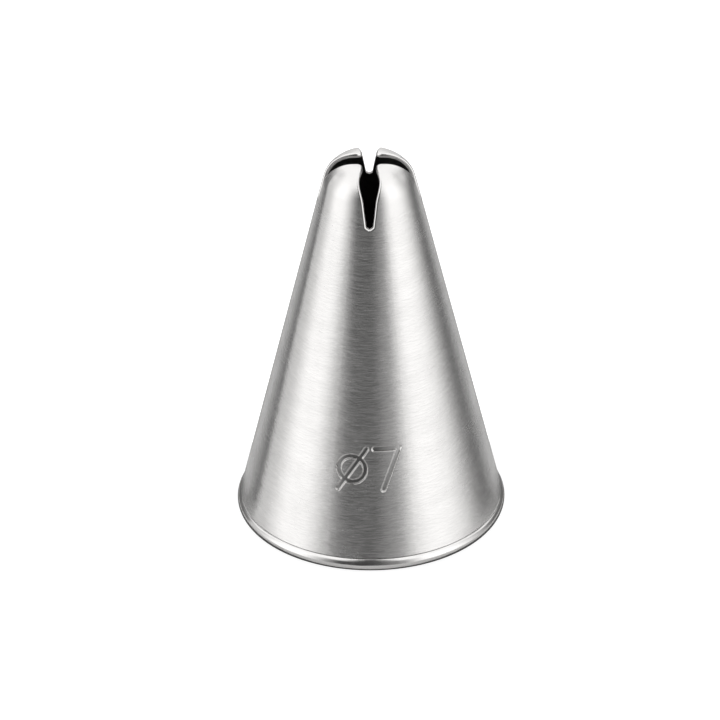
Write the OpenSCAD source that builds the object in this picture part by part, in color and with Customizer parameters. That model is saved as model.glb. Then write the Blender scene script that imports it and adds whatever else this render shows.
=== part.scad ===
// Piping nozzle: one pressed and slit cone of thin stainless sheet with a rolled rim.
// The sheet is split where its forming changes: rolled rim, plain cone wall, and the four
// petals that the crossed slots leave when the small end is folded in over a round shoulder.
// Millimetres, +Z up, origin on the surface that the rim stands on, at the nozzle's axis.

/* [Overall] */
// Height from the rim's underside to the flat top of the petals
nozzle_h = 27; // [23:0.5:32]
// Outside diameter over the rolled rim
rim_d = 18; // [16:0.1:21]
// Thickness of the sheet
sheet_t = 0.3; // [0.2:0.02:0.4]

/* [Crown] */
// Outside diameter of the cone at the level of the front slot's end
crown_d = 7.07; // [6.2:0.01:8.4]
// Outside radius of the bend that folds the petals in
shoulder_r = 2; // [1.5:0.05:2.3]
// Height of the free petals, from where they leave the cone up to the flat top
petal_h = 2.6; // [2.3:0.05:2.7]
// Radius of each petal's corner in the middle of the top
petal_corner_r = 0.4; // [0.15:0.01:0.5]

/* [Slots] */
// Height of the front slot, from its pointed end to the top
front_slot_h = 3.28; // [3:0.02:4]
// Height of the two side slots
side_slot_h = 3.1; // [3:0.02:4]
// Height of the back slot
back_slot_h = 2.94; // [2.8:0.02:4]
// Width of the front and back slots where the four slots cross
mouth_w = 0.9; // [0.6:0.01:1.2]
// Widest width of the front and back slots, on the shoulder
shoulder_w = 1.32; // [1.1:0.01:1.6]
// Width of the side slots where the four slots cross
side_mouth_w = 1.1; // [0.6:0.01:1.2]
// Widest width of the side slots, on the shoulder
side_shoulder_w = 1.14; // [1.05:0.01:1.6]
// How far behind the middle the two side slots lie
side_slot_back = 0.15; // [0:0.01:0.25]
// Width of every slot just below the shoulder, where the wall is straight again
waist_w = 0.82; // [0.6:0.01:1]
// Width of every slot where its pointed end begins
root_w = 0.46; // [0.3:0.01:0.55]

/* [Rim] */
// Diameter of the bead that the wall's end is rolled into
bead_d = 1; // [0.8:0.02:1.2]
// How far the bead stands out past the line of the wall
bead_out = 0.12; // [0.04:0.01:0.25]
// Gap left between the curled end and the wall, inside the nozzle
curl_gap = 0.14; // [0.08:0.01:0.2]
// Depth of the flat that the bead stands on
foot_flat_h = 0.015; // [0.005:0.005:0.04]

/* [Hidden] */
$fn = 160;

// Cuts run past the solid by this much
overrun = 1;

// Bead: circle in the wall's section, with its flat on the ground
bead_r = bead_d / 2;
bead_z = bead_r - foot_flat_h;
bead_centre_r = rim_d / 2 - bead_r;

// Cone: the outer line runs from the rim past the front slot's end to the shoulder
wall_r_low = rim_d / 2 - bead_out;
wall_slope = (wall_r_low - crown_d / 2) / (nozzle_h - front_slot_h - bead_z);
wall_angle = atan(wall_slope);
wall_side = sheet_t / cos(wall_angle);
petal_z = nozzle_h - petal_h;

// Shoulder: its circle touches both the cone line and the flat top
shoulder_z = nozzle_h - shoulder_r;
shoulder_centre_r = cone_r(shoulder_z) - shoulder_r / cos(wall_angle);

// Length along the sheet's outer line, from the axis over the top to the end of the bend
waist_s = shoulder_centre_r + shoulder_r * (90 - wall_angle) * PI / 180;

// The widest place of a slot, as an angle from the bend's top and as a length
widest_angle = 34;
widest_s = shoulder_centre_r + shoulder_r * widest_angle * PI / 180;
widest_z = profile_z(widest_s);

// A slot keeps its mouth width out to this length, as a share of the bend's start
mouth_end_share = 0.8;
mouth_s = mouth_end_share * shoulder_centre_r;

// How fast a slot's half width shrinks where it leaves the shoulder for the wall
waist_rate = (waist_w - root_w) / 2 / (front_slot_h - shoulder_r);
outline_steps = 10;

// The four slots: turn from -Y, height, mouth width, widest width and sideways shift
SLOTS = [
  [0, front_slot_h, mouth_w, shoulder_w, 0],
  [90, side_slot_h, side_mouth_w, side_shoulder_w, side_slot_back],
  [180, back_slot_h, mouth_w, shoulder_w, 0],
  [270, side_slot_h, side_mouth_w, side_shoulder_w, -side_slot_back]
];

// Outer radius of the cone line at height z
function cone_r(z) = wall_r_low - (z - bead_z) * wall_slope;

// Radius and height of the sheet's outer line at length s from the axis, down to the waist
function bend_angle(s) = max(s - shoulder_centre_r, 0) / shoulder_r * 180 / PI;
function profile_r(s) = min(s, shoulder_centre_r) + shoulder_r * sin(bend_angle(s));
function profile_z(s) = nozzle_h - shoulder_r * (1 - cos(bend_angle(s)));

// A cubic that goes level from a as u leaves 0, and reaches b at slope q as u reaches 1
function ease(u, a, b, q) =
  a + (b - a) * (3 - 2 * u) * pow(u, 2) + q * (pow(u, 3) - pow(u, 2));

// One side of a slot seen from outside, up from its pointed end to its widest place
function slot_side(slot_h, widest) = concat(
  [
    [0, nozzle_h - slot_h],
    [root_w / 2, nozzle_h - slot_h + root_w / 2]
  ],
  [
    for (i = [outline_steps:-1:0])
      let (u = i / outline_steps, run = waist_s - widest_s)
        [ease(u, widest / 2, waist_w / 2, -waist_rate * run), profile_z(widest_s + u * run)]
  ]
);

// One side of a slot seen from above, in from past the wall to the crossing
function slot_plan(mouth, widest) = concat(
  [[widest / 2, rim_d / 2]],
  [
    for (i = [0:outline_steps])
      let (u = i / outline_steps, run = widest_s - mouth_s)
        [ease(u, widest / 2, mouth / 2, 0), profile_r(widest_s - u * run)]
  ],
  [[mouth / 2, 0]]
);

// A one-sided outline closed by its own mirror image
function both_sides(points) = concat(
  points,
  [for (i = [len(points) - 1:-1:0]) [-points[i][0], points[i][1]]]
);

// Half of the sheet's filled section above height z_low, drawn in by inset
module filled_section(z_low, inset) {
  bend = shoulder_r - inset;
  polygon([
    [0, z_low],
    [cone_r(z_low) - inset / cos(wall_angle), z_low],
    [shoulder_centre_r + bend * cos(wall_angle), shoulder_z + bend * sin(wall_angle)],
    [shoulder_centre_r, shoulder_z],
    [0, shoulder_z]
  ]);
  translate([0, shoulder_z])
    square([shoulder_centre_r, bend]);
  intersection() {
    translate([shoulder_centre_r, shoulder_z])
      circle(r = bend);
    translate([shoulder_centre_r, shoulder_z])
      square(shoulder_r);
  }
}

// The folded end of the sheet before it is slit
module crown_shell() {
  rotate_extrude()
    difference() {
      filled_section(petal_z, 0);
      filled_section(petal_z, sheet_t);
    }
}

// The slots' lower ends: pointed, and cut through the wall from the side
module slots_down() {
  for (slot = SLOTS)
    rotate(slot[0])
      translate([slot[4], 0, 0])
        rotate([90, 0, 0])
          linear_extrude(height = rim_d / 2)
            polygon(both_sides(slot_side(slot[1], slot[3])));
}

// The slots across the top, cut from above, with the round corners of the petals
module slots_across() {
  translate([0, 0, widest_z])
    linear_extrude(height = nozzle_h - widest_z + overrun) {
      for (slot = SLOTS)
        rotate(slot[0])
          translate([slot[4], 0])
            mirror([0, 1])
              polygon(both_sides(slot_plan(slot[2], slot[3])));
      for (side_x = [-1, 1], side_y = [-1, 1])
        translate([side_x * mouth_w / 2, side_slot_back + side_y * side_mouth_w / 2])
          scale([side_x, side_y])
            corner_round();
    }
}

// What a round corner leaves of a square one
module corner_round() {
  difference() {
    square(petal_corner_r);
    translate([petal_corner_r, petal_corner_r])
      circle(r = petal_corner_r);
  }
}

// One of the four fingers, in the quarter that starts at this turn from +X
module petal(turn) {
  color([0.76, 0.76, 0.75])
    difference() {
      intersection() {
        crown_shell();
        rotate(turn)
          translate([0, 0, petal_z])
            cube([crown_d, crown_d, petal_h + overrun]);
      }
      slots_down();
      slots_across();
    }
}

// The plain cone, seated on the bead, with the slots' ends in its upper edge
module cone_wall() {
  color([0.72, 0.72, 0.71])
    difference() {
      rotate_extrude()
        difference() {
          polygon([
            [cone_r(bead_z), bead_z],
            [cone_r(petal_z), petal_z],
            [cone_r(petal_z) - wall_side, petal_z],
            [cone_r(bead_z) - wall_side, bead_z]
          ]);
          translate([bead_centre_r, bead_z])
            circle(r = bead_r);
        }
      slots_down();
    }
}

// The wall's end, rolled into a hollow bead that is left open on the inside
module rolled_rim() {
  color([0.8, 0.8, 0.79])
    rotate_extrude()
      difference() {
        translate([bead_centre_r, bead_z])
          circle(r = bead_r);
        translate([bead_centre_r, bead_z])
          circle(r = bead_r - sheet_t);
        translate([bead_centre_r - bead_d, bead_z])
          square([bead_d, curl_gap]);
        translate([bead_centre_r - bead_d, -bead_d])
          square([2 * bead_d, bead_d]);
      }
}

module petal_front_left() {
  petal(180);
}

module petal_front_right() {
  petal(270);
}

module petal_back_left() {
  petal(90);
}

module petal_back_right() {
  petal(0);
}

cone_wall();
rolled_rim();
petal_front_left();
petal_front_right();
petal_back_left();
petal_back_right();
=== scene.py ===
# %% [markdown]
# # A piping nozzle pressed from thin stainless sheet
#
# A piping nozzle is a single cone of stainless sheet. Its wide end is rolled into a bead, and its
# small end is slit crosswise and folded in over a round shoulder, which leaves four petals.
# The construction model already holds the sizes and the six regions of that sheet as plain solids.
# Here each region gets a skin with the real one's softened cut edges, stamped mark and finish.

import bmesh
import bpy
import numpy as np
from mathutils import Matrix, Vector


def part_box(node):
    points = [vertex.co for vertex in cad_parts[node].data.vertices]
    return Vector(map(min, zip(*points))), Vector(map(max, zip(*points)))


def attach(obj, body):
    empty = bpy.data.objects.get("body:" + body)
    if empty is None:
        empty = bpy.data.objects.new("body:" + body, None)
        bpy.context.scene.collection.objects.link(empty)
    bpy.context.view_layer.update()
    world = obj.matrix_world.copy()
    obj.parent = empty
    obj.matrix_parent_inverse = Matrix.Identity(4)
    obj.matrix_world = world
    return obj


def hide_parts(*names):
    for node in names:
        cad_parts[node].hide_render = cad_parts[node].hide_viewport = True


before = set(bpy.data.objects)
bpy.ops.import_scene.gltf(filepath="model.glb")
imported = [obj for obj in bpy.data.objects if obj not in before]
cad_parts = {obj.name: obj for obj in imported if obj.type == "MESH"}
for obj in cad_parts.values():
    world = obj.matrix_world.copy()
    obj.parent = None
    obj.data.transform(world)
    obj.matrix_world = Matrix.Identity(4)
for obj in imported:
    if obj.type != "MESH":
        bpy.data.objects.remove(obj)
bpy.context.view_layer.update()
print("nodes:", sorted(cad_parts))

# %% [markdown]
# ## Sizes
#
# The overall sizes are read from the loaded solids, so the skins follow them. The sheet's thickness,
# the bend and the slots can't be read from a box, so they are written here as real sizes in
# millimetres, and everything else is worked out from them.

# %% Sizes of the nozzle
MM = 0.001
petal_low, petal_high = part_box("petal_front_left")
rim_low, rim_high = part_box("rolled_rim")
nozzle_h = petal_high.z / MM
petal_z = petal_low.z / MM
rim_d = max(rim_high.x - rim_low.x, rim_high.y - rim_low.y) / MM

sheet_t = 0.3
crown_d = 7.07
shoulder_r = 2.0
petal_corner_r = 0.4
bead_d = 1.0
bead_out = 0.12
curl_gap = 0.14
foot_flat_h = 0.015
waist_w = 0.82
root_w = 0.46

# A slot is widest at this angle round the bend, and keeps its mouth's width over this share of
# the flat top's radius
widest_angle = np.radians(34)
mouth_end_share = 0.8

# Each slot: turn of its middle from +X, height, width at the crossing, widest width, sideways shift
BACK = dict(turn=90, height=2.94, mouth=0.90, widest=1.32, shift=0.0)
LEFT = dict(turn=180, height=3.10, mouth=1.10, widest=1.14, shift=-0.15)
FRONT = dict(turn=270, height=3.28, mouth=0.90, widest=1.32, shift=0.0)
RIGHT = dict(turn=360, height=3.10, mouth=1.10, widest=1.14, shift=0.15)
BACK_AGAIN = dict(BACK, turn=450)

print(f"nozzle {nozzle_h:.2f} mm high, {rim_d:.2f} mm across the rim, petals from {petal_z:.2f} mm up")

# %% Values worked out from the sizes
bead_r = bead_d / 2
bead_z = bead_r - foot_flat_h
bead_centre_r = rim_d / 2 - bead_r
wall_r_low = rim_d / 2 - bead_out
wall_slope = (wall_r_low - crown_d / 2) / (nozzle_h - FRONT["height"] - bead_z)
lean = np.arctan(wall_slope)

shoulder_z = nozzle_h - shoulder_r
bend_start = wall_r_low - (shoulder_z - bead_z) * wall_slope - shoulder_r / np.cos(lean)
full_turn = np.pi / 2 - lean
waist_s = bend_start + shoulder_r * full_turn
widest_s = bend_start + shoulder_r * widest_angle
mouth_s = mouth_end_share * bend_start
waist_z = shoulder_z + shoulder_r * np.sin(lean)
waist_rate = (waist_w - root_w) / 2 / (FRONT["height"] - shoulder_r)
print(f"wall leans {np.degrees(lean):.2f} degrees, bend runs from {bend_start:.2f} to {waist_s:.2f} mm")

# %% [markdown]
# ## The camera
#
# The photograph is taken from far away with a long lens, a little above the nozzle. The camera
# comes first, so that every later step can be looked at from the photograph's own angle.
# It is slid sideways in its own plane, which places the nozzle in the frame without a lens shift.

# %% Camera at the photograph's angle
camera_distance = 1200 * MM
camera_elevation = np.radians(32.16)
camera_roll = -0.0062
camera_slide_right = -0.683 * MM
camera_slide_up = -1.927 * MM
lens_length = 894.15
film_width = 36
aim = Vector((0, 0, nozzle_h / 2 * MM))

back = Vector((0, -np.cos(camera_elevation), np.sin(camera_elevation)))
level_up = Vector((0, np.sin(camera_elevation), np.cos(camera_elevation)))
level_right = Vector((1, 0, 0))
right = level_right * np.cos(camera_roll) + level_up * np.sin(camera_roll)
up = level_up * np.cos(camera_roll) - level_right * np.sin(camera_roll)

camera_data = bpy.data.cameras.new("photo_camera")
camera_data.lens = lens_length
camera_data.sensor_width = film_width
camera_data.clip_start = 0.01
camera_data.clip_end = 10
camera = bpy.data.objects.new("photo_camera", camera_data)
bpy.context.scene.collection.objects.link(camera)
camera.matrix_world = Matrix.Translation(
    aim + back * camera_distance + right * camera_slide_right + up * camera_slide_up
) @ Matrix((right, up, back)).transposed().to_4x4()
bpy.context.scene.camera = camera
print("camera at", [round(v, 4) for v in camera.matrix_world.translation])

# %% [markdown]
# ## One sheet, one formula
#
# All four petals and the wall are the same sheet, so one function can place every point of it.
# It takes the length along the sheet from the axis, the angle round the axis, and the depth below
# the outer face. A piece is then only a choice of which lengths, angles and depths it covers.
# That keeps the pieces flush where they meet, which six shapes modelled apart would not.

# %% The sheet's outer line, and a point on or in the sheet
# One radian round the axis is this many millimetres in the UV map
uv_radius = 6.0


def sheet_line(s):
    """Radius, height and outward normal at length s from the axis: level out to the bend, then
    round an arc of the shoulder's radius until the wall's lean is reached, then straight down."""
    turn = np.clip((s - bend_start) / shoulder_r, 0, full_turn)
    past = np.maximum(s - waist_s, 0)
    r = np.minimum(s, bend_start) + shoulder_r * np.sin(turn) + past * np.sin(lean)
    z = shoulder_z + shoulder_r * np.cos(turn) - past * np.cos(lean)
    return r, z, np.sin(turn), np.cos(turn)


def on_sheet(s, azimuth, depth):
    """x, y, z in metres, u, v in millimetres and the depth's share of the thickness: the outer
    line's point at s, sunk along its normal and turned to the azimuth. u runs down the profile and
    v runs round the nozzle."""
    s, azimuth, depth = np.broadcast_arrays(s, azimuth, depth)
    r, z, normal_r, normal_z = sheet_line(s)
    r = r - depth * normal_r
    z = z - depth * normal_z
    x, y = MM * r * np.cos(azimuth), MM * r * np.sin(azimuth)
    return np.stack([x, y, MM * z, s, uv_radius * azimuth, depth / sheet_t], -1)


def s_at_height(z):
    """Length along the sheet at which its straight wall passes height z."""
    return waist_s + (waist_z - z) / np.cos(lean)


print(f"the sheet is {s_at_height(bead_z):.1f} mm from the axis to the bead")

# %% [markdown]
# ## The slots
#
# Each slot is sheared before the end is folded in. Seen along the sheet it is narrow at the
# crossing, widest on the shoulder, narrower again where the wall is straight, and it ends in a
# point. One function gives its half width at any length, and an inset moves that line into the
# metal, which is how the softened cut edge finds where the flat face stops.

# %% Half width of a slot, and the azimuth of its edge
# From its point a slot's half width grows by this much for each millimetre of height
point_ratio = 1.6
# How far the blunt point lies below the lower end of the slot's stated height
point_drop = 0.05


def ease(u, a, b, slope):
    """A cubic that leaves a level at u = 0 and reaches b with this slope at u = 1."""
    u = np.clip(u, 0, 1)
    return a + (b - a) * (3 - 2 * u) * u**2 + slope * (u**3 - u**2)


def slot_end_s(slot, inset):
    """Length at which the slot's blunt point lies, once its two sloping sides are moved by inset."""
    drop = point_drop + inset * np.hypot(1, point_ratio) / point_ratio
    return s_at_height(nozzle_h - slot["height"]) + drop / np.cos(lean)


def slot_half_width(slot, s, inset):
    """Two cubics from the widest place, to the crossing and to the waist, then a straight taper to
    the root, cut off by the pointed end. The inset widens all of it by the same amount."""
    widest = slot["widest"] / 2
    run = waist_s - widest_s
    inwards = ease((widest_s - s) / (widest_s - mouth_s), widest, slot["mouth"] / 2, 0)
    outwards = ease((s - widest_s) / run, widest, waist_w / 2, -waist_rate * run)
    root_s = s_at_height(nozzle_h - slot["height"] + root_w / 2)
    taper = (waist_w - root_w) / 2 * (s - waist_s) / (root_s - waist_s)
    half = np.where(s < widest_s, inwards, outwards) - np.maximum(taper, 0)
    pointed = (slot_end_s(slot, inset) - s) * np.cos(lean) * point_ratio
    return np.maximum(np.minimum(half + inset, pointed), 0)


def slot_edge(slot, side, s, inset, depth):
    """Azimuth of the slot's edge, on the side with larger azimuth for side 1 and smaller for -1.
    The cut is parallel to the slot's own plane, so the angle grows as the radius shrinks."""
    r, z, normal_r, normal_z = sheet_line(s)
    across = slot["shift"] + side * slot_half_width(slot, s, inset)
    return np.radians(slot["turn"]) + np.arcsin(across / (r - depth * normal_r))


for slot in (FRONT, RIGHT, BACK):
    widths = [2 * float(slot_half_width(slot, s, 0)) for s in (mouth_s, widest_s, waist_s)]
    print("slot at", slot["turn"], "widths", [round(w, 2) for w in widths])

# %% [markdown]
# ## The softened edge and the loops
#
# Sheared and tumbled sheet has no sharp edge: the outer one is rolled over by about a fifth of a
# millimetre, the inner one by far less. A Bevel modifier could do it, but it would also round
# the joins between the pieces. So each row of a piece is one closed loop round the thickness of
# the sheet: over the outer face, round the edge, back along the inner face, round the other edge.

# %% Loops round the sheet's thickness
edge_out = 0.18
edge_in = 0.05
arc_steps = 7
cut_steps = 1


def arc_points(a, corner, b):
    """Points from a to b round their corner: the weighted mean of the three, with the corner's
    weight times the cosine of 45 degrees, which makes a quarter circle. The last is left out."""
    t = np.arange(arc_steps)[:, None] / arc_steps
    start, middle, end = (1 - t) ** 2, 2 * t * (1 - t) * np.cos(np.pi / 4), t**2
    total = start * a[:, None] + middle * corner[:, None] + end * b[:, None]
    return total / (start + middle + end)


def edge_strip(side):
    """The cut edge from outer face to inner face: quarter round, flat cut, smaller quarter round."""
    outer = on_sheet(*side(edge_out, 0), 0)
    outer_corner = on_sheet(*side(0, 0), 0)
    cut_top = on_sheet(*side(0, edge_out), edge_out)
    cut_low = on_sheet(*side(0, sheet_t - edge_in), sheet_t - edge_in)
    inner_corner = on_sheet(*side(0, sheet_t), sheet_t)
    inner = on_sheet(*side(edge_in, sheet_t), sheet_t)
    t = np.arange(cut_steps)[:, None] / cut_steps
    cut = cut_top[:, None] * (1 - t) + cut_low[:, None] * t
    upper = arc_points(outer, outer_corner, cut_top)[:, 1:]
    lower = arc_points(cut_low, inner_corner, inner)
    return np.concatenate([upper, cut, lower], 1)


def face_rows(low, high, share, depth):
    """Rows of one face, from the low edge to the high edge in the given shares. The length along
    the sheet eases from one edge's value to the other's, and the azimuth goes straight."""
    s_low, azimuth_low = low
    s_high, azimuth_high = high
    eased = share * share * (3 - 2 * share)
    s = s_low[:, None] + (s_high - s_low)[:, None] * eased
    azimuth = azimuth_low[:, None] + (azimuth_high - azimuth_low)[:, None] * share
    return on_sheet(s, azimuth, depth)


def sheet_loops(low, high, share):
    """One closed loop for each row, from two functions of inset and depth that give each edge."""
    outer = face_rows(low(edge_out, 0), high(edge_out, 0), share, 0)
    inner = face_rows(low(edge_in, sheet_t), high(edge_in, sheet_t), share, sheet_t)
    return np.concatenate([outer, edge_strip(high), inner[:, ::-1], edge_strip(low)[:, ::-1]], 1)


strip_points = (arc_steps - 1) + cut_steps + arc_steps
print("points round one cut edge:", strip_points)

# %% [markdown]
# ## From arrays to a mesh
#
# A patch is a grid of points with their UVs. Patches are written into one mesh with whole-array
# calls, the points that coincide are welded, and the normals are made to face outwards. Edges
# sharper than a broken edge can be are marked sharp, so smooth shading stays inside each face.

# %% Mesh helpers
sharp_angle = np.radians(40)
weld_distance = 0.00005 * MM
# A face's depth share above each of these gives it the next finish
FINISH_LIMITS = np.array([0.02, 0.45, 0.98])


def grid_faces(rows, columns, closed):
    """Corner numbers of the quads of a grid whose rows follow each other, closed round or open."""
    row = np.arange(rows - 1)[:, None]
    column = np.arange(columns if closed else columns - 1)[None, :]
    after = (column + 1) % columns
    here = row * columns
    return np.stack([here + column, here + columns + column, here + columns + after, here + after], -1)


def ladder_faces(face_columns, loop_points, first):
    """Quads that close a loop's end: each point is joined to the one opposite in the thickness."""
    half_strip = strip_points // 2
    j = np.arange(-half_strip, face_columns + half_strip)
    opposite = 2 * face_columns + strip_points - 1 - j
    a, b = j % loop_points, opposite % loop_points
    return first + np.stack([a[:-1], a[1:], b[1:], b[:-1]], -1)


def build_mesh(name, patches, caps=()):
    """Makes one welded, closed object from patches of points and the faces of its caps. A face's finish
    follows the mean depth share of its corners: 0 on the outer face, 1 on rolled-over edges and in the
    mark, 2 on the sheared cut, 3 on the inner face, in the crease and under the wall, where the dark
    finish is painted shade."""
    points, faces, first = [], [], 0
    for grid, closed in patches:
        rows, columns = grid.shape[:2]
        points.append(grid.reshape(-1, 6))
        faces.append(first + grid_faces(rows, columns, closed).reshape(-1, 4))
        first += rows * columns
    points = np.concatenate(points)
    faces = np.concatenate(faces + list(caps))
    mesh = bpy.data.meshes.new(name)
    mesh.from_pydata(points[:, :3].tolist(), [], faces.tolist())
    uv = mesh.uv_layers.new(name="along_sheet")
    uv.data.foreach_set("uv", points[faces.ravel(), 3:5].astype(np.float32).ravel())
    depth_share = points[faces, 5].mean(1)
    finish = (depth_share[:, None] > FINISH_LIMITS).sum(1).astype(np.int32)
    mesh.polygons.foreach_set("material_index", finish)
    return finish_mesh(name, mesh)


def finish_mesh(name, mesh):
    """Welds the points that coincide, faces the normals outwards and marks the sharp edges."""
    work = bmesh.new()
    work.from_mesh(mesh)
    bmesh.ops.remove_doubles(work, verts=work.verts, dist=weld_distance)
    bmesh.ops.dissolve_degenerate(work, edges=work.edges, dist=weld_distance)
    bmesh.ops.recalc_face_normals(work, faces=work.faces)
    open_edges = sum(1 for edge in work.edges if not edge.is_manifold)
    work.to_mesh(mesh)
    work.free()
    mesh.polygons.foreach_set("use_smooth", np.ones(len(mesh.polygons), bool))
    mesh.set_sharp_from_angle(angle=sharp_angle)
    piece = bpy.data.objects.new(name, mesh)
    bpy.context.scene.collection.objects.link(piece)
    triangles = sum(len(face.vertices) - 2 for face in mesh.polygons)
    print(f"{name}: {triangles} triangles, {open_edges} open edges")
    return piece


# %% [markdown]
# ## The petals
#
# Slitting the folded end crosswise leaves four petals, with round corners in the middle of the
# top. They could be cut with booleans, which leaves long thin triangles that catch the light.
# Here the rows are rings round the axis instead: near a petal's corner a ring is cut off where it
# meets the corner's circle, and further out where it meets the two slots.

# %% Edges of a petal
corner_rows = 16
bend_rows = 64
petal_columns = 60
petal_end_s = s_at_height(petal_z)


def petal_corner(before, after):
    """Distance and azimuth of the middle of the petal's corner circle, which touches the slot
    before the petal and the slot after it."""
    middle = np.zeros(2)
    for slot, side in ((before, 1), (after, -1)):
        turn = np.radians(slot["turn"])
        across = slot["shift"] + side * (slot["mouth"] / 2 + petal_corner_r)
        middle += across * np.array([-np.sin(turn), np.cos(turn)])
    azimuth = np.arctan2(middle[1], middle[0]) % (2 * np.pi)
    azimuth += 2 * np.pi * (azimuth < np.radians(before["turn"]))
    return np.hypot(*middle), azimuth


def petal_edge(slot, side, corner, rows_share):
    """One edge of a petal, as a function of inset and depth. The rows start where the corner's
    circle comes nearest to the axis. The law of cosines gives the azimuth at which each ring meets
    that circle, and from where the circle touches the slot the edge is the slot's own."""
    corner_distance, corner_azimuth = corner

    def edge(inset, depth):
        radius = petal_corner_r - inset
        nearest = corner_distance - radius
        near_part = np.clip(rows_share, 0, 1) ** 2
        far_part = np.clip(rows_share - 1, 0, 1)
        s = nearest + (bend_start - nearest) * near_part + (petal_end_s - bend_start) * far_part
        cosine = (s**2 + corner_distance**2 - radius**2) / (2 * s * corner_distance)
        round_edge = corner_azimuth - side * np.arccos(np.clip(cosine, -1, 1))
        straight_edge = slot_edge(slot, side, s, inset, depth)
        turned = side * (corner_azimuth - np.radians(slot["turn"]))
        touch = np.hypot(
            corner_distance * np.cos(turned), slot["shift"] + side * (slot["mouth"] / 2 + inset)
        )
        both = side * np.maximum(side * round_edge, side * straight_edge)
        return s, np.where(s < touch, both, straight_edge)

    return edge


distance, azimuth = petal_corner(LEFT, FRONT)
print(f"front left corner: {distance:.2f} mm out at {np.degrees(azimuth):.0f} degrees")


# %% Build the four petals
def build_petal(name, before, after):
    """A petal between two slots: loops from its corner down to the wall, closed by a ladder."""
    near = np.linspace(0, 1, corner_rows)
    far = 1 + np.linspace(0, 1, bend_rows)[1:]
    rows_share = np.concatenate([near, far])
    corner = petal_corner(before, after)
    share = np.linspace(0, 1, petal_columns)
    low = petal_edge(before, 1, corner, rows_share)
    high = petal_edge(after, -1, corner, rows_share)
    loops = sheet_loops(low, high, share)
    rows, loop_points = loops.shape[:2]
    cap = ladder_faces(petal_columns, loop_points, (rows - 1) * loop_points)
    return build_mesh(name, [(loops, True)], [cap])


petals = {
    "petal_back_left": build_petal("petal_back_left_skin", BACK, LEFT),
    "petal_front_left": build_petal("petal_front_left_skin", LEFT, FRONT),
    "petal_front_right": build_petal("petal_front_right_skin", FRONT, RIGHT),
    "petal_back_right": build_petal("petal_back_right_skin", RIGHT, BACK_AGAIN),
}

# %% [markdown]
# ## The stamped mark
#
# Nozzles carry a small mark struck into the lower wall with a flat-ended steel stamp. This one
# gives the tip's size as a diameter sign and a 7. The groove is real geometry: at each point of a
# fine grid the distance to the nearest stroke says how deep the wall is pushed in there. A bump
# map would be quicker, but it would vanish from the mesh and from low angles.

# %% Depth of the mark at any point of the wall
mark_z = 7.15
mark_shift = -0.14
mark_h = 3.2
mark_depth = 0.13
stroke_w = 0.31
stroke_side = 0.075

# Places in millimetres from the mark's middle, positive to the right
sign_x = -1.15
sign_r = 0.9
slash_slope = 0.68
seven_left = 0.36
seven_right = 2.05
seven_foot = 0.98

# Half the width and height of the finely divided field round the mark
mark_half_w = 2.5
mark_half_h = 1.75
mark_s = s_at_height(mark_z)


def to_segment(x, y, start, end):
    """Distance from each point to a straight stroke: to its nearest point between the two ends."""
    along = np.array(end) - np.array(start)
    t = ((x - start[0]) * along[0] + (y - start[1]) * along[1]) / (along @ along)
    t = np.clip(t, 0, 1)
    return np.hypot(x - start[0] - t * along[0], y - start[1] - t * along[1])


def mark_groove(s, azimuth):
    """Depth of the groove: full within half a stroke of the nearest stroke, falling smoothly to
    nothing over the width of its side."""
    r = sheet_line(s)[0]
    x = (azimuth - np.radians(FRONT["turn"])) * r - mark_shift
    y = mark_s - s
    reach = (mark_h - stroke_w) / 2
    slash_x = reach * slash_slope
    ring = np.abs(np.hypot(x - sign_x, y) - sign_r)
    slash = to_segment(x, y, (sign_x - slash_x, -reach), (sign_x + slash_x, reach))
    bar = to_segment(x, y, (seven_left, reach), (seven_right, reach))
    leg = to_segment(x, y, (seven_right, reach), (seven_foot, -reach))
    distance = np.minimum.reduce([ring, slash, bar, leg])
    inside = np.clip((stroke_w / 2 + stroke_side / 2 - distance) / stroke_side, 0, 1)
    return mark_depth * inside * inside * (3 - 2 * inside)


print(f"mark {mark_h} mm high, struck {mark_depth} mm deep, its middle {mark_z} mm above the ground")

# %% [markdown]
# ## The wall
#
# Below the petals the wall is a plain cone, with the four slots' pointed ends in its top edge.
# The top band is made of four sectors of loops between slots, like the petals. Under the slots'
# points the outer and inner faces go on as two plain grids, and the outer one is fine where the
# mark is. Just above the bead the wall turns in a little, and it ends on the bead's own circle.

# %% Rows and columns of the wall
band_rows = 22
below_rows = 6
band_below_point = 0.45
band_end_s = s_at_height(nozzle_h - FRONT["height"]) + band_below_point

# How far apart the wall's rows are: above the mark, in it, below it, and on the inner face
upper_step = 0.5
fine_step = 0.024
lower_step = 0.3
inner_step = 0.8
coarse_angle = 0.045


def spread(start, end, step):
    """Evenly spaced values from start to end, no further apart than step."""
    return np.linspace(start, end, int(np.ceil(abs(end - start) / step)) + 1)


def column_shares(before, after):
    """Shares of a sector's width for its columns: fine beside the mark, coarse elsewhere."""
    width = np.pi / 2
    mark_angle = mark_half_w / sheet_line(mark_s)[0]
    fine_angle = fine_step / sheet_line(mark_s)[0]
    if FRONT not in (before, after):
        return spread(0, 1, coarse_angle / width)
    fine = spread(0, mark_angle, fine_angle)
    coarse = spread(mark_angle, width, coarse_angle)[1:]
    shares = np.concatenate([fine, coarse]) / width
    return shares if before is FRONT else 1 - shares[::-1]


def wall_edge(slot, side, rows_share):
    """The wall's edge at a slot, as a function of inset and depth: down to the slot's point for
    shares up to 1, then straight down below it."""

    def edge(inset, depth):
        end_s = slot_end_s(slot, inset)
        down = np.clip(rows_share, 0, 1)
        below = np.clip(rows_share - 1, 0, 1)
        s = petal_end_s + (end_s - petal_end_s) * down + (band_end_s - end_s) * below
        return s, slot_edge(slot, side, s, inset, depth)

    return edge


print("columns of a front sector:", column_shares(FRONT, RIGHT).size)
print("columns of a back sector:", column_shares(BACK, LEFT).size)
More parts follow.
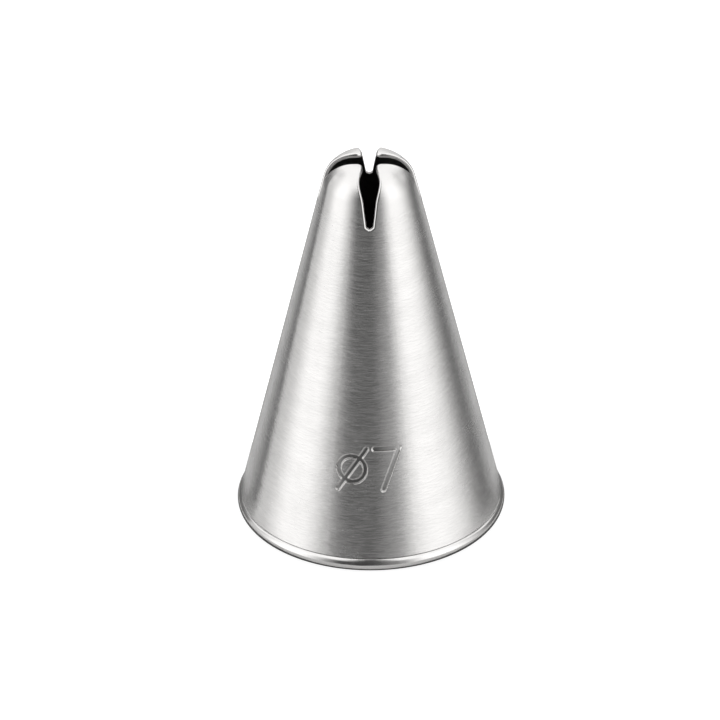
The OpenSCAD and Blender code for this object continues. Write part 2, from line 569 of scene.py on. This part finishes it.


# %% Where the wall meets the bead
# How far the wall's foot steps in above the bead. The foot takes the dark finish, painted shade in the
# crease.
crease = 0.09
foot_steps = 6


def circle_end(line_inset):
    """Radius and height where the wall's line, moved inwards, meets the bead's circle: the upper
    root of the quadratic that the line and the circle share."""
    gap = wall_r_low - line_inset / np.cos(lean) - bead_centre_r
    a = 1 + wall_slope**2
    h = (gap * wall_slope + np.sqrt(gap**2 * wall_slope**2 - a * (gap**2 - bead_r**2))) / a
    return bead_centre_r + gap - h * wall_slope, bead_z + h


def bead_angle(line_inset):
    """Angle round the bead's middle, up from level, at which the moved line meets its circle."""
    r, z = circle_end(line_inset)
    return np.arctan2(z - bead_z, r - bead_centre_r)


def foot_length(line_inset):
    """Length along the sheet, measured on its outer line, at which the moved line ends."""
    r, z = circle_end(line_inset)
    return s_at_height(z + line_inset * np.sin(lean))


crease_s = foot_length(0) - crease
inner_end_s = foot_length(sheet_t)


def wall_foot(azimuth_out, azimuth_in):
    """The wall's lower end: in by the crease's depth, then along an arc of the bead's circle to the
    inner face. Its depth share of 1 gives the whole foot the dark finish, a painted shade that leaves a
    dark line above the bead."""
    angle = np.linspace(bead_angle(crease), bead_angle(sheet_t), foot_steps)
    r_top, z_top = sheet_line(crease_s)[:2]
    r = np.append(r_top, bead_centre_r + bead_r * np.cos(angle))[:, None]
    z = np.append(z_top, bead_z + bead_r * np.sin(angle))[:, None]
    t = np.append(0, np.linspace(0, 1, foot_steps))[:, None]
    azimuth = azimuth_out + (azimuth_in - azimuth_out) * t
    s = crease_s + (inner_end_s - crease_s) * t + 0 * azimuth
    x, y = MM * r * np.cos(azimuth), MM * r * np.sin(azimuth)
    # A depth share of 1 gives the foot the dark finish, painted shade in the crease
    return np.stack([x, y, MM * z + 0 * azimuth, s, uv_radius * azimuth, 1 + 0 * azimuth], -1)


print(f"the wall sits on the bead at {np.degrees(bead_angle(0)):.0f} degrees round it")


# %% Build the wall
def wall_sector(before, after):
    """The top band between two slots, and the azimuths at which its columns go on downwards."""
    share = column_shares(before, after)
    slotted = np.linspace(0, 1, band_rows)
    low, high = wall_edge(before, 1, slotted), wall_edge(after, -1, slotted)
    loops = sheet_loops(low, high, share)
    cap = ladder_faces(len(share), loops.shape[1], 0)
    plain = 1 + np.linspace(0, 1, below_rows)
    low, high = wall_edge(before, 1, plain), wall_edge(after, -1, plain)
    outer = face_rows(low(edge_out, 0), high(edge_out, 0), share, 0)
    inner = face_rows(low(edge_in, sheet_t), high(edge_in, sheet_t), share, sheet_t)
    return loops, cap, outer, inner, outer[-1, :, 4] / uv_radius, inner[-1, :, 4] / uv_radius


def build_wall(name):
    """Four slotted sectors above, two plain faces below, and the arc that sits on the bead."""
    mark_top, mark_low = mark_s - mark_half_h, mark_s + mark_half_h
    outer_s = np.concatenate([
        spread(band_end_s, mark_top, upper_step),
        spread(mark_top, mark_low, fine_step)[1:],
        spread(mark_low, crease_s, lower_step)[1:],
    ])[:, None]
    inner_s = spread(band_end_s, inner_end_s, inner_step)[:, None]
    patches, caps, first = [], [], 0
    for before, after in ((BACK, LEFT), (LEFT, FRONT), (FRONT, RIGHT), (RIGHT, BACK_AGAIN)):
        loops, cap, outer, inner, azimuth_out, azimuth_in = wall_sector(before, after)
        lower_out = on_sheet(outer_s, azimuth_out, mark_groove(outer_s, azimuth_out))
        lower_in = on_sheet(inner_s, azimuth_in, sheet_t)
        caps.append(first + cap)
        sector = [(loops, True), (outer, False), (inner, False), (lower_out, False)]
        sector += [(lower_in, False), (wall_foot(azimuth_out, azimuth_in), False)]
        patches += sector
        first += sum(grid.shape[0] * grid.shape[1] for grid, closed in sector)
    return build_mesh(name, patches, caps)


wall = build_wall("cone_wall_skin")

# %% [markdown]
# ## The rolled rim
#
# The wide end is turned outwards over a former until the sheet curls into a hollow bead, with its
# raw end hidden inside the mouth. The bead is one section, carried round the axis. Rolling leaves
# it slightly uneven, and a few slow waves with fixed phases give that without any random draw.

# %% The bead's section
outside_points = 96
inside_points = 40
lip_points = 6
lip_r = 0.06
lip_bulge = lip_r / 2


def curl_section():
    """The curl's outline as radius and angle about the bead's middle: round the outside from the
    lower lip to the upper lip, then back round the inside, with both lips rounded."""
    gap_out = np.pi - np.arcsin(curl_gap / bead_r)
    gap_in = np.pi - np.arcsin(curl_gap / (bead_r - sheet_t))
    outer = np.linspace(-np.pi + lip_r / bead_r, gap_out - lip_r / bead_r, outside_points)
    inner = np.linspace(gap_in - lip_r, -np.pi + lip_r, inside_points)
    upper = np.linspace(outer[-1], inner[0], lip_points + 2)[1:-1]
    lower = np.full(lip_points, -np.pi)
    lip_share = np.linspace(0, 1, lip_points + 2)[1:-1]
    lip_radius = bead_r - sheet_t * lip_share
    angle = np.concatenate([outer, upper + lip_bulge, inner, lower])
    radius = np.concatenate([
        np.full(outer.size, bead_r), lip_radius, np.full(inner.size, bead_r - sheet_t), lip_radius[::-1]
    ])
    return radius, angle


print("points round the bead's section:", curl_section()[0].size)

# %% Build the rim
rim_columns = 420
wave_counts = np.array([17, 29, 41, 67, 97])
wave_phases = np.array([0.3, 1.9, 4.1, 2.6, 5.3])
wave_size = 0.0016


def build_rim(name):
    """The curl's section at each azimuth, its radius changed a little by the rolling waves, and
    everything that would reach below the ground laid flat on it. From just inside the crease the bead
    takes a depth share of 1, which gives it the dark finish: painted shade in the crease and under the
    wall."""
    radius, angle = curl_section()
    azimuth = np.linspace(0, 2 * np.pi, rim_columns, endpoint=False)[:, None]
    waves = np.sin(wave_counts * azimuth + wave_phases).sum(1, keepdims=True)
    outside = (radius == bead_r) * np.clip(np.cos(angle), 0, 1)
    local = radius - wave_size * (1 + waves / wave_counts.size) * outside
    r = bead_centre_r + local * np.cos(angle)
    z = np.maximum(bead_z + local * np.sin(angle), 0)
    u = s_at_height(0) + bead_r * (np.pi - angle) + 0 * r
    # The bead from just inside the crease on is painted dark as shade
    painted_crease_shade = angle > bead_angle(crease / 3)
    x, y = MM * r * np.cos(azimuth), MM * r * np.sin(azimuth)
    points = np.stack([x, y, MM * z, u, uv_radius * azimuth + 0 * r, painted_crease_shade + 0 * r], -1)
    ring = np.concatenate([points, points[:1]])
    return build_mesh(name, [(ring, True)])


rim = build_rim("rolled_rim_skin")

# %% [markdown]
# ## Finishes
#
# The whole nozzle is one bare stainless steel. What changes is how each region was worked: the
# wall is brushed round and round, the bead is burnished by the rolling tool, and the petals keep
# the smoother face that the press gave them. Fine lines and handling marks are used by more than
# one finish, so each is a node group that puts out masks.

# %% Node helpers
def add_node(tree, kind, **values):
    """Adds a node. Names in small letters set its properties, and names with a capital set the
    inputs so labelled, with an underscore for each space."""
    node = tree.nodes.new(kind)
    for name, value in values.items():
        if name.islower():
            setattr(node, name, value)
        else:
            node.inputs[name.replace("_", " ")].default_value = value
    return node


def maths(tree, operation, *values):
    """The result of a maths node on values that are each a socket or a number."""
    node = add_node(tree, "ShaderNodeMath", operation=operation)
    for socket, value in zip(node.inputs, values):
        if isinstance(value, bpy.types.NodeSocket):
            tree.links.new(value, socket)
        else:
            socket.default_value = value
    return node.outputs[0]


def new_group(name, inputs, outputs):
    """A shader node group with number inputs and number outputs, and its two end nodes."""
    tree = bpy.data.node_groups.new(name, "ShaderNodeTree")
    for label, value in inputs.items():
        socket = tree.interface.new_socket(label, in_out="INPUT", socket_type="NodeSocketFloat")
        socket.default_value = value
    for label in outputs:
        tree.interface.new_socket(label, in_out="OUTPUT", socket_type="NodeSocketFloat")
    return tree, tree.nodes.new("NodeGroupInput"), tree.nodes.new("NodeGroupOutput")


# %% [markdown]
# The fine lines of a brushed cone run round it, so the noise changes quickly with height and
# slowly round the axis. It reads Object coordinates, which have no seam. The lines' mask is used
# three ways: as a faint change of colour, of roughness, and of height.

# %% Group for the fine brushing lines
def make_line_group():
    """Noise on coordinates scaled to many lines per millimetre of height and to fewer across. The
    fine lines are one mask, and the same noise at a coarser scale is another, for their bands."""
    tree, inputs, outputs = new_group(
        "Brushing lines", {"Lines per mm": 9.0, "Spread per mm": 0.35}, ["Lines", "Bands"]
    )
    coordinates = add_node(tree, "ShaderNodeTexCoord")
    for label, factor, detail in (("Lines", 1.0, 4.0), ("Bands", 0.18, 2.0)):
        across = maths(tree, "MULTIPLY", inputs.outputs["Spread per mm"], factor / MM)
        along = maths(tree, "MULTIPLY", inputs.outputs["Lines per mm"], factor / MM)
        scale = add_node(tree, "ShaderNodeCombineXYZ")
        stretch = add_node(tree, "ShaderNodeVectorMath", operation="MULTIPLY")
        noise = add_node(tree, "ShaderNodeTexNoise", Scale=1.0, Detail=detail, Roughness=0.6)
        tree.links.new(across, scale.inputs["X"])
        tree.links.new(across, scale.inputs["Y"])
        tree.links.new(along, scale.inputs["Z"])
        tree.links.new(coordinates.outputs["Object"], stretch.inputs[0])
        tree.links.new(scale.outputs[0], stretch.inputs[1])
        tree.links.new(stretch.outputs[0], noise.inputs["Vector"])
        tree.links.new(noise.outputs["Fac"], outputs.inputs[label])
    return tree


line_group = make_line_group()
print("group:", line_group.name)

# %% [markdown]
# Handling leaves a second, softer layer on every region: cloudy patches where the polish is a
# little duller. It is a slow noise in all directions, pushed towards its extremes.

# %% Group for handling marks
def make_handling_group():
    """Slow noise, stretched to a mask that is 0 on clean steel and 1 on dull."""
    tree, inputs, outputs = new_group("Handling marks", {"Patches per mm": 0.5}, ["Dull"])
    coordinates = add_node(tree, "ShaderNodeTexCoord")
    patches_per_metre = maths(tree, "MULTIPLY", inputs.outputs["Patches per mm"], 1 / MM)
    noise = add_node(tree, "ShaderNodeTexNoise", Detail=3.0, Roughness=0.55)
    stretch = add_node(
        tree, "ShaderNodeMapRange", interpolation_type="SMOOTHSTEP", From_Min=0.35, From_Max=0.7
    )
    tree.links.new(coordinates.outputs["Object"], noise.inputs["Vector"])
    tree.links.new(patches_per_metre, noise.inputs["Scale"])
    tree.links.new(noise.outputs["Fac"], stretch.inputs["Value"])
    tree.links.new(stretch.outputs["Result"], outputs.inputs["Dull"])
    return tree


handling_group = make_handling_group()
print("group:", handling_group.name)

# %% [markdown]
# Steel brushed in one direction spreads a reflection across the lines and keeps it sharp along
# them. That is what anisotropy does in the Principled shader, once its tangent follows the
# sheet's profile, so every finish takes the tangent from the sheet's own UV map.

# %% The steel of every region
band_share = 0.5
mixed_low = 0.45
mixed_high = 1.05


def steel(name, colour, roughness, anisotropy, shade, streak, dull, height, lines, spread_out):
    """Bare metal. Lines and bands together shade the colour by up to the share shade, either way.
    The roughness rises by up to dull in the handling marks, and by streak times the lines' mask
    less a half. The lines stand up by height, and lines and spread_out are their scales per mm."""
    material = bpy.data.materials.new(name)
    material.use_nodes = True
    tree = material.node_tree
    surface = tree.nodes["Principled BSDF"]
    surface.inputs["Metallic"].default_value = 1.0
    surface.inputs["Anisotropic"].default_value = anisotropy
    brushing = add_node(
        tree, "ShaderNodeGroup", node_tree=line_group, Lines_per_mm=lines, Spread_per_mm=spread_out
    )
    handling = add_node(tree, "ShaderNodeGroup", node_tree=handling_group)
    fine = brushing.outputs["Lines"]
    mixed = maths(tree, "MULTIPLY_ADD", brushing.outputs["Bands"], band_share, fine)
    shaded = add_node(
        tree, "ShaderNodeMapRange",
        From_Min=mixed_low, From_Max=mixed_high, To_Min=1 - shade, To_Max=1 + shade,
    )
    tint = add_node(tree, "ShaderNodeVectorMath", operation="SCALE")
    tint.inputs[0].default_value = colour
    handled = add_node(tree, "ShaderNodeMapRange", To_Min=roughness, To_Max=roughness + dull)
    centred = maths(tree, "SUBTRACT", fine, 0.5)
    rough = maths(tree, "MULTIPLY_ADD", centred, streak, handled.outputs["Result"])
    bump = add_node(tree, "ShaderNodeBump", Strength=1.0, Distance=height * MM)
    tangent = add_node(tree, "ShaderNodeTangent", direction_type="UV_MAP", uv_map="along_sheet")
    tree.links.new(mixed, shaded.inputs["Value"])
    tree.links.new(shaded.outputs["Result"], tint.inputs["Scale"])
    tree.links.new(tint.outputs["Vector"], surface.inputs["Base Color"])
    tree.links.new(handling.outputs["Dull"], handled.inputs["Value"])
    tree.links.new(rough, surface.inputs["Roughness"])
    tree.links.new(fine, bump.inputs["Height"])
    tree.links.new(bump.outputs["Normal"], surface.inputs["Normal"])
    tree.links.new(tangent.outputs["Tangent"], surface.inputs["Tangent"])
    print(f"{name}: roughness {roughness}, anisotropy {anisotropy}")
    return material


# %% [markdown]
# The brushed wall and the pressed crown spread reflections fully across their lines. The other finishes
# don't: the burnished bead and the struck edges are smoother than either, the sheared cut is the
# roughest, and the inside is dull, since nobody polishes it. The inside's dark colour is painted shade,
# used on the inner face, in the crease above the bead and on the bead under the wall.

# %% The six finishes
steel_colour = (0.735, 0.725, 0.715)
# The dark colour is painted shade for the inside, the crease and the bead under the wall
painted_shade_colour = (0.2, 0.195, 0.19)
brushed = steel(
    "brushed_steel_wall", steel_colour, roughness=0.22, anisotropy=1.0,
    shade=0.07, streak=0.15, dull=0.04, height=0.016, lines=7.5, spread_out=1.3,
)
pressed = steel(
    "pressed_steel_crown", steel_colour, roughness=0.22, anisotropy=1.0,
    shade=0.03, streak=0.1, dull=0.04, height=0.008, lines=7.5, spread_out=1.1,
)
burnished = steel(
    "burnished_steel_rim", steel_colour, roughness=0.14, anisotropy=0.0,
    shade=0.05, streak=0.2, dull=0.08, height=0.004, lines=5.0, spread_out=1.2,
)
sheared = steel(
    "sheared_steel_cut", steel_colour, roughness=0.7, anisotropy=0.0,
    shade=0.06, streak=0.1, dull=0.08, height=0.006, lines=6.0, spread_out=3.0,
)
struck = steel(
    "struck_steel_edges", steel_colour, roughness=0.16, anisotropy=0.0,
    shade=0.03, streak=0.1, dull=0.08, height=0.001, lines=6.0, spread_out=3.0,
)
# The inside finish: dull steel painted dark as shade
inside = steel(
    "dull_steel_painted_shade", painted_shade_colour, roughness=0.45, anisotropy=0.0,
    shade=0.05, streak=0.1, dull=0.1, height=0.004, lines=6.0, spread_out=3.0,
)

# %% [markdown]
# ## The light
#
# Bare metal shows what stands round it, so the light is most of its look. A product photographer
# stands a wide soft light on each side, one above and a weaker one behind, and leaves the camera's
# own side dark. That gives the dark middle of the cone between two bright flanks, and the gaps
# between the side lights and the one behind give the dark strip near each edge. The world holds
# these lights by direction, which is smooth and costs no samples. The camera sees plain white.

# %% Directions and soft fades
def look_direction(tree):
    """Azimuth and height in degrees of the direction that is looked in. Azimuth 0 is the camera's
    side, and it grows towards the camera's right, up to 180 straight behind."""
    coordinates = add_node(tree, "ShaderNodeTexCoord")
    split = add_node(tree, "ShaderNodeSeparateXYZ")
    tree.links.new(coordinates.outputs["Generated"], split.inputs[0])
    towards = maths(tree, "MULTIPLY", split.outputs["Y"], -1)
    azimuth = maths(tree, "DEGREES", maths(tree, "ARCTAN2", split.outputs["X"], towards))
    height = maths(tree, "DEGREES", maths(tree, "ARCSINE", split.outputs["Z"]))
    return azimuth, height


def soft_step(tree, value, start, end, top=1):
    """0 at start and top at end, with a smooth change between them and none beyond. The start may
    be the larger of the two, and then the step rises downwards."""
    at_low, at_high = (0, top) if start < end else (top, 0)
    node = add_node(
        tree, "ShaderNodeMapRange", interpolation_type="SMOOTHSTEP",
        From_Min=min(start, end), From_Max=max(start, end), To_Min=at_low, To_Max=at_high,
    )
    tree.links.new(value, node.inputs["Value"])
    return node.outputs["Result"]


# %% Lights round the nozzle
# Each side light fades in over its first pair of azimuths and out over its second, up to its level
SIDE_LIGHTS = {
    "left fill": ((-182, -181), (-66, -22), 0.1),
    "left panel": ((-118.5, -116.5), (-66, -22), 0.6),
    "left panel's brighter front": ((-108, -76), (-66, -22), 0.76),
    "right fill": ((20, 52), (181, 182), 0.1),
    "right panel": ((20, 52), (64, 120), 1.36),
    "strip beside the camera": ((2, 20), (30, 50), 0.2),
}
base_level = 0.07
back_level = 0.57


def side_light(tree, azimuth, rise, fall, level):
    """A soft light: rise and fall each give the two azimuths between which it fades."""
    rising = soft_step(tree, azimuth, rise[0], rise[1])
    falling = soft_step(tree, azimuth, fall[1], fall[0], level)
    return maths(tree, "MULTIPLY", rising, falling)


def back_light(tree, away, height):
    """The weaker light behind. Well below the horizon it begins 131 degrees away from the camera's
    side, above that 27 degrees further round, and it is left out straight behind and low down."""
    lag = soft_step(tree, height, -26, -10, 27)
    lit = soft_step(tree, maths(tree, "SUBTRACT", away, lag), 131, 134, back_level)
    straight_behind = soft_step(tree, away, 158, 170)
    low_down = soft_step(tree, height, -14, -22)
    left_out = maths(tree, "MULTIPLY", straight_behind, low_down)
    return maths(tree, "MULTIPLY", lit, maths(tree, "SUBTRACT", 1, left_out))


print("side lights:", ", ".join(SIDE_LIGHTS))

# %% The table below and the light above
table_level = 0.6
top_level = 1.3


def table_share(tree, away, height):
    """How far a direction is table: 0 down to 14 degrees below the horizon, and 1 from 28 degrees.
    Both are 12 degrees lower from the sides on, and another 16 lower straight behind."""
    raised = maths(tree, "ADD", height, soft_step(tree, away, 70, 110, 12))
    raised = maths(tree, "ADD", raised, soft_step(tree, away, 158, 170, 16))
    return soft_step(tree, raised, -14, -28)


def top_share(tree, away, height):
    """How far a direction is the light above: 0 up to 32 degrees and 1 from 50 degrees up, and both
    20 degrees lower behind the sides. It has a dark seam that starts behind the sides at 45 degrees
    and slants down by 34, and on the camera's side it is left out, except straight overhead."""
    lifted = maths(tree, "ADD", height, soft_step(tree, away, 90, 112, 20))
    above = soft_step(tree, lifted, 32, 50)
    seam_height = maths(tree, "SUBTRACT", 45, soft_step(tree, away, 112, 150, 34))
    off_seam = maths(tree, "ABSOLUTE", maths(tree, "SUBTRACT", height, seam_height))
    seam = maths(tree, "MULTIPLY", soft_step(tree, off_seam, 10, 4), soft_step(tree, away, 104, 116))
    beside = soft_step(tree, away, 14, 34)
    overhead = soft_step(tree, height, 76, 90)
    above = maths(tree, "MULTIPLY", above, maths(tree, "SUBTRACT", 1, seam))
    return maths(tree, "MULTIPLY", above, maths(tree, "MAXIMUM", beside, overhead))


print("levels: table", table_level, "top", top_level, "back", back_level)


# %% The world
def make_world():
    """Adds up the lights round the nozzle, then fades to the table and to the light above. The
    camera's own rays take plain white instead."""
    world = bpy.data.worlds.new("studio")
    world.use_nodes = True
    tree = world.node_tree
    tree.nodes.clear()
    azimuth, height = look_direction(tree)
    away = maths(tree, "ABSOLUTE", azimuth)
    level = maths(tree, "ADD", back_light(tree, away, height), base_level)
    for rise, fall, side_level in SIDE_LIGHTS.values():
        level = maths(tree, "ADD", level, side_light(tree, azimuth, rise, fall, side_level))
    fades = ((table_share(tree, away, height), table_level), (top_share(tree, away, height), top_level))
    for share, value in fades:
        blend = add_node(tree, "ShaderNodeMix", data_type="FLOAT", B=value)
        tree.links.new(share, blend.inputs["Factor"])
        tree.links.new(level, blend.inputs["A"])
        level = blend.outputs["Result"]
    light = add_node(tree, "ShaderNodeBackground", Color=(1, 1, 1, 1))
    white = add_node(tree, "ShaderNodeBackground", Color=(1, 1, 1, 1))
    path = add_node(tree, "ShaderNodeLightPath")
    choose = add_node(tree, "ShaderNodeMixShader")
    output = add_node(tree, "ShaderNodeOutputWorld")
    tree.links.new(level, light.inputs["Strength"])
    tree.links.new(path.outputs["Is Camera Ray"], choose.inputs["Fac"])
    tree.links.new(light.outputs[0], choose.inputs[1])
    tree.links.new(white.outputs[0], choose.inputs[2])
    tree.links.new(choose.outputs[0], output.inputs["Surface"])
    return world


bpy.context.scene.world = make_world()
bpy.context.scene.view_settings.view_transform = "Standard"
print("world nodes:", len(bpy.context.scene.world.node_tree.nodes))

# %% [markdown]
# ## The floor
#
# The floor is nearly white paper. To the camera it adds a little light of its own, so its open parts
# are white and only the shadow at the foot shows. Reflections see other things than the camera does, so
# smaller discs lie on the floor. Reflections look past the wide floor to the studio. Near the bead they
# find a narrow ring of the same paper, then a darker disc for the foot's shadow, and under the mouth a
# darker disc without any glow is a painted shadow that keeps the inside dark from above.

# %% Discs of the floor
disc_points = 96
floor_r = 600
near_floor_r = rim_d / 2 + 2.5
foot_shadow_r = rim_d / 2 + 1.2
foot_shadow_back = 1.2
mouth_r = bead_centre_r - bead_r


def make_disc(name, radius, y, z, material):
    """A flat fan of points on a circle that lies y behind the axis, facing up."""
    angle = np.linspace(0, 2 * np.pi, disc_points, endpoint=False)
    points = np.stack([radius * np.cos(angle), radius * np.sin(angle) + y, 0 * angle + z], -1)
    mesh = bpy.data.meshes.new(name)
    mesh.from_pydata((MM * points).tolist(), [], [list(range(angle.size))])
    mesh.materials.append(material)
    disc = bpy.data.objects.new(name, mesh)
    bpy.context.scene.collection.objects.link(disc)
    print(f"{name}: {radius:.1f} mm in radius")
    return disc


def paper(name, shade, glow):
    """Paper of a grey shade, which lightens itself by the glow for the camera only."""
    material = bpy.data.materials.new(name)
    material.use_nodes = True
    tree = material.node_tree
    surface = tree.nodes["Principled BSDF"]
    surface.inputs["Base Color"].default_value = (shade, shade, shade, 1)
    surface.inputs["Roughness"].default_value = 0.9
    surface.inputs["Emission Color"].default_value = (1, 1, 1, 1)
    path = add_node(tree, "ShaderNodeLightPath")
    strength = maths(tree, "MULTIPLY", path.outputs["Is Camera Ray"], glow)
    tree.links.new(strength, surface.inputs["Emission Strength"])
    return material


floor_paper = paper("floor_paper", 0.7, 0.8)
floor = make_disc("floor", floor_r, 0, -0.03, floor_paper)
floor.visible_glossy = False
make_disc("near_floor", near_floor_r, 0, -0.02, floor_paper)
make_disc("foot_shadow", foot_shadow_r, foot_shadow_back, -0.01, paper("shadowed_paper", 0.12, 0.93))
# A painted shadow: darker paper under the mouth, without any glow
make_disc("painted_shadow_under_mouth", mouth_r, 0, -0.005, paper("painted_shadow_paper", 0.25, 0.0))

# %% [markdown]
# ## Fit the skins to the frame
#
# Each skin stands for one solid of the construction model, moves with the only body there is, and takes
# its four finishes into its material slots.

# %% Dress the nozzle
def dress(piece, node, material):
    """Gives a skin its finishes, puts it under the root body and hides the solid that it stands for."""
    # The fourth finish, inside, is the dark painted shade
    for finish in (material, struck, sheared, inside):
        piece.data.materials.append(finish)
    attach(piece, "root")
    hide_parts(node)
    print(f"{piece.name} stands for {node}")


dress(wall, "cone_wall", brushed)
dress(rim, "rolled_rim", burnished)
for node, petal in petals.items():
    dress(petal, node, pressed)
